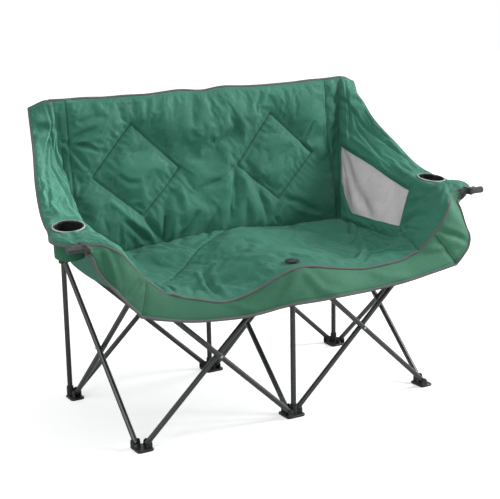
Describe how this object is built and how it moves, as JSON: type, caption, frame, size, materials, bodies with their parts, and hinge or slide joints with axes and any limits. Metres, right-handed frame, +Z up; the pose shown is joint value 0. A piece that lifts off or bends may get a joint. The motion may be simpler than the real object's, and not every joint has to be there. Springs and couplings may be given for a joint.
{
  "type": "folding camping loveseat",
  "caption": "Folding camping loveseat: crossed steel legs that close like scissors, padded quilted back and seat, flared padded arms with mesh windows, cup holders and wine-glass grips.",
  "frame": {"origin": "on the ground under the middle of the chair's outline", "axes": "+X along the width, to the right of someone facing the chair; +Y from the front to the back; +Z up"},
  "size_m": [1.4174, 0.6488, 0.935],
  "materials": {
    "steel": "dark satin lacquer",
    "moulding": "black, fine grain",
    "rivet": "bright",
    "grip": "dark grey, satin",
    "fabric": "green polyester with a soft sheen",
    "mesh": "light open net",
    "ring": "light grey"
  },
  "bodies": {
    "back_centre": {"foot_back_centre": "moulding", "pole_back_centre": "steel", "pole_cap_centre": "moulding", "back_pad": "fabric"},
    "tube_front_left_leftward": {"tube_front_left_leftward": "steel", "arm_tip_left": "grip", "rivet_front_left": "rivet"},
    "tube_front_left_rightward": {"tube_front_left_rightward": "steel"},
    "tube_front_right_leftward": {"tube_front_right_leftward": "steel"},
    "tube_front_right_rightward": {"tube_front_right_rightward": "steel", "arm_tip_right": "grip", "rivet_front_right": "rivet"},
    "tube_back_left_leftward": {"tube_back_left_leftward": "steel", "rivet_back_left": "rivet"},
    "tube_back_left_rightward": {"tube_back_left_rightward": "steel"},
    "tube_back_right_leftward": {"tube_back_right_leftward": "steel"},
    "tube_back_right_rightward": {"tube_back_right_rightward": "steel", "rivet_back_right": "rivet"},
    "tube_side_left_backward": {"tube_side_left_backward": "steel"},
    "tube_side_centre_backward": {"tube_side_centre_backward": "steel"},
    "tube_side_right_backward": {"tube_side_right_backward": "steel"},
    "tube_side_left_forward": {"tube_side_left_forward": "steel", "rivet_side_left": "rivet"},
    "tube_side_centre_forward": {"tube_side_centre_forward": "steel", "rivet_side_centre": "rivet"},
    "tube_side_right_forward": {"tube_side_right_forward": "steel", "rivet_side_right": "rivet"},
    "front_centre": {"foot_front_centre": "moulding", "post_front_centre": "steel"},
    "hub_front_centre": {"hub_front_centre": "moulding", "seat_fitting": "moulding", "apron": "fabric"},
    "slider_back_centre": {"slider_back_centre": "moulding"},
    "slider_back_left": {"slider_back_left": "moulding"},
    "slider_back_right": {"slider_back_right": "moulding"},
    "back_left": {"foot_back_left": "moulding", "pole_back_left": "steel", "pole_cap_left": "moulding"},
    "back_right": {"foot_back_right": "moulding", "pole_back_right": "steel", "pole_cap_right": "moulding"},
    "front_left": {"foot_front_left": "moulding"},
    "front_right": {"foot_front_right": "moulding"},
    "hub_front_left": {"hub_front_left": "moulding"},
    "hub_front_right": {"hub_front_right": "moulding"},
    "seat_rear": {"seat_rear": "fabric"},
    "seat_front": {"seat_front": "fabric"},
    "arm_left": {"arm_panel_left": "fabric", "arm_mesh_left": "mesh"},
    "cup_left": {"cup_ring_left": "ring", "cup_pouch_left": "fabric"},
    "arm_right": {"arm_panel_right": "fabric", "arm_mesh_right": "mesh"},
    "cup_right": {"cup_ring_right": "ring", "cup_pouch_right": "fabric"}
  },
  "joints": [
    {"name": "fold", "type": "hinge", "parent": "back_centre", "child": "tube_side_centre_forward", "pos_m": [0.0083, 0.27248, 0.021], "axis": [-1, 0, 0], "range_deg": [0, 39.93], "deforming": ["back_pad", "seat_rear", "seat_front", "apron", "arm_panel_left", "arm_panel_right", "arm_mesh_left", "arm_mesh_right"]},
    {"name": "side_centre_cross", "type": "hinge", "parent": "tube_side_centre_forward", "child": "tube_side_centre_backward", "pos_m": [0, 0.04248, 0.236], "axis": [-1, 0, 0], "range_deg": [-79.88, 0]},
    {"name": "front_centre_foot", "type": "hinge", "parent": "tube_side_centre_backward", "child": "front_centre", "pos_m": [-0.0083, -0.18752, 0.021], "axis": [-1, 0, 0], "range_deg": [0, 39.95]},
    {"name": "front_centre_hub", "type": "hinge", "parent": "tube_side_centre_forward", "child": "hub_front_centre", "pos_m": [0.0083, -0.18752, 0.451], "axis": [-1, 0, 0], "range_deg": [-39.95, 0]},
    {"name": "back_centre_slider", "type": "hinge", "parent": "tube_side_centre_backward", "child": "slider_back_centre", "pos_m": [-0.0083, 0.27248, 0.451], "axis": [-1, 0, 0], "range_deg": [0, 39.95]},
    {"name": "back_left_foot_inner", "type": "hinge", "parent": "back_centre", "child": "tube_back_left_leftward", "pos_m": [-0.02, 0.31078, 0.021], "axis": [0, 1, 0], "range_deg": [0, 39.95]},
    {"name": "back_left_cross", "type": "hinge", "parent": "tube_back_left_leftward", "child": "tube_back_left_rightward", "pos_m": [-0.25, 0.30248, 0.236], "axis": [0, 1, 0], "range_deg": [-79.88, 0]},
    {"name": "back_left_foot", "type": "hinge", "parent": "tube_back_left_rightward", "child": "back_left", "pos_m": [-0.48, 0.29418, 0.021], "axis": [0, 1, 0], "range_deg": [0, 39.95]},
    {"name": "back_left_slider", "type": "hinge", "parent": "tube_back_left_leftward", "child": "slider_back_left", "pos_m": [-0.48, 0.31078, 0.451], "axis": [0, 1, 0], "range_deg": [-39.95, 0]},
    {"name": "front_left_foot_inner", "type": "hinge", "parent": "front_centre", "child": "tube_front_left_leftward", "pos_m": [-0.02, -0.22582, 0.021], "axis": [0, 1, 0], "range_deg": [0, 39.95]},
    {"name": "front_left_cross", "type": "hinge", "parent": "tube_front_left_leftward", "child": "tube_front_left_rightward", "pos_m": [-0.25, -0.21752, 0.236], "axis": [0, 1, 0], "range_deg": [-79.88, 0]},
    {"name": "front_left_foot", "type": "hinge", "parent": "tube_front_left_rightward", "child": "front_left", "pos_m": [-0.48, -0.20922, 0.021], "axis": [0, 1, 0], "range_deg": [0, 39.95]},
    {"name": "front_left_hub", "type": "hinge", "parent": "tube_front_left_leftward", "child": "hub_front_left", "pos_m": [-0.48, -0.22582, 0.451], "axis": [0, 1, 0], "range_deg": [-39.95, 0]},
    {"name": "back_right_foot_inner", "type": "hinge", "parent": "back_centre", "child": "tube_back_right_rightward", "pos_m": [0.02, 0.29418, 0.021], "axis": [0, -1, 0], "range_deg": [0, 39.95]},
    {"name": "back_right_cross", "type": "hinge", "parent": "tube_back_right_rightward", "child": "tube_back_right_leftward", "pos_m": [0.25, 0.30248, 0.236], "axis": [0, -1, 0], "range_deg": [-79.88, 0]},
    {"name": "back_right_foot", "type": "hinge", "parent": "tube_back_right_leftward", "child": "back_right", "pos_m": [0.48, 0.31078, 0.021], "axis": [0, -1, 0], "range_deg": [0, 39.95]},
    {"name": "back_right_slider", "type": "hinge", "parent": "tube_back_right_rightward", "child": "slider_back_right", "pos_m": [0.48, 0.29418, 0.451], "axis": [0, -1, 0], "range_deg": [-39.95, 0]},
    {"name": "front_right_foot_inner", "type": "hinge", "parent": "front_centre", "child": "tube_front_right_rightward", "pos_m": [0.02, -0.20922, 0.021], "axis": [0, -1, 0], "range_deg": [0, 39.95]},
    {"name": "front_right_cross", "type": "hinge", "parent": "tube_front_right_rightward", "child": "tube_front_right_leftward", "pos_m": [0.25, -0.21752, 0.236], "axis": [0, -1, 0], "range_deg": [-79.88, 0]},
    {"name": "front_right_foot", "type": "hinge", "parent": "tube_front_right_leftward", "child": "front_right", "pos_m": [0.48, -0.22582, 0.021], "axis": [0, -1, 0], "range_deg": [0, 39.95]},
    {"name": "front_right_hub", "type": "hinge", "parent": "tube_front_right_rightward", "child": "hub_front_right", "pos_m": [0.48, -0.20922, 0.451], "axis": [0, -1, 0], "range_deg": [-39.95, 0]},
    {"name": "side_left_foot", "type": "hinge", "parent": "back_left", "child": "tube_side_left_forward", "pos_m": [-0.4917, 0.27248, 0.021], "axis": [-1, 0, 0], "range_deg": [0, 39.95]},
    {"name": "side_left_cross", "type": "hinge", "parent": "tube_side_left_forward", "child": "tube_side_left_backward", "pos_m": [-0.5, 0.04248, 0.236], "axis": [-1, 0, 0], "range_deg": [-79.88, 0]},
    {"name": "side_right_foot", "type": "hinge", "parent": "back_right", "child": "tube_side_right_forward", "pos_m": [0.5083, 0.27248, 0.021], "axis": [-1, 0, 0], "range_deg": [0, 39.95]},
    {"name": "side_right_cross", "type": "hinge", "parent": "tube_side_right_forward", "child": "tube_side_right_backward", "pos_m": [0.5, 0.04248, 0.236], "axis": [-1, 0, 0], "range_deg": [-79.88, 0]},
    {"name": "seat_rear_fold", "type": "hinge", "parent": "slider_back_centre", "child": "seat_rear", "pos_m": [0, 0.22448, 0.458], "axis": [-1, 0, 0], "range_deg": [0, 78.2]},
    {"name": "seat_front_fold", "type": "hinge", "parent": "hub_front_centre", "child": "seat_front", "pos_m": [0, -0.25752, 0.462], "axis": [1, 0, 0], "range_deg": [0, 78.2]},
    {"name": "arm_left_fold", "type": "hinge", "parent": "back_left", "child": "arm_left", "pos_m": [-0.5, 0.28848, 0.935], "axis": [-1, 0, 0], "range_deg": [0, 18.75]},
    {"name": "cup_left_rise", "type": "slide", "parent": "back_left", "child": "cup_left", "axis": [0.1483, 0.78, 0.608], "range_m": [0, 0.33769]},
    {"name": "arm_right_fold", "type": "hinge", "parent": "back_right", "child": "arm_right", "pos_m": [0.5, 0.28848, 0.935], "axis": [-1, 0, 0], "range_deg": [0, 18.75]},
    {"name": "cup_right_rise", "type": "slide", "parent": "back_right", "child": "cup_right", "axis": [-0.1483, 0.78, 0.608], "range_m": [0, 0.33769]}
  ],
  "couplings": [
    {"joint": "side_centre_cross", "follows": "fold", "ratio": -2},
    {"joint": "front_centre_foot", "follows": "fold", "ratio": 1},
    {"joint": "front_centre_hub", "follows": "fold", "ratio": -1},
    {"joint": "back_centre_slider", "follows": "fold", "ratio": 1},
    {"joint": "back_left_foot_inner", "follows": "fold", "ratio": 1},
    {"joint": "back_left_cross", "follows": "fold", "ratio": -2},
    {"joint": "back_left_foot", "follows": "fold", "ratio": 1},
    {"joint": "back_left_slider", "follows": "fold", "ratio": -1},
    {"joint": "front_left_foot_inner", "follows": "fold", "ratio": 1},
    {"joint": "front_left_cross", "follows": "fold", "ratio": -2},
    {"joint": "front_left_foot", "follows": "fold", "ratio": 1},
    {"joint": "front_left_hub", "follows": "fold", "ratio": -1},
    {"joint": "back_right_foot_inner", "follows": "fold", "ratio": 1},
    {"joint": "back_right_cross", "follows": "fold", "ratio": -2},
    {"joint": "back_right_foot", "follows": "fold", "ratio": 1},
    {"joint": "back_right_slider", "follows": "fold", "ratio": -1},
    {"joint": "front_right_foot_inner", "follows": "fold", "ratio": 1},
    {"joint": "front_right_cross", "follows": "fold", "ratio": -2},
    {"joint": "front_right_foot", "follows": "fold", "ratio": 1},
    {"joint": "front_right_hub", "follows": "fold", "ratio": -1},
    {"joint": "side_left_foot", "follows": "fold", "ratio": 1},
    {"joint": "side_left_cross", "follows": "fold", "ratio": -2},
    {"joint": "side_right_foot", "follows": "fold", "ratio": 1},
    {"joint": "side_right_cross", "follows": "fold", "ratio": -2},
    {"joint": "seat_rear_fold", "follows": "fold", "ratio": 1.9579},
    {"joint": "seat_front_fold", "follows": "fold", "ratio": 1.9579},
    {"joint": "arm_left_fold", "follows": "fold", "ratio": 0.469},
    {"joint": "cup_left_rise", "follows": "fold", "m_per_rad": 0.48382},
    {"joint": "arm_right_fold", "follows": "fold", "ratio": 0.469},
    {"joint": "cup_right_rise", "follows": "fold", "m_per_rad": 0.48382}
  ]
}
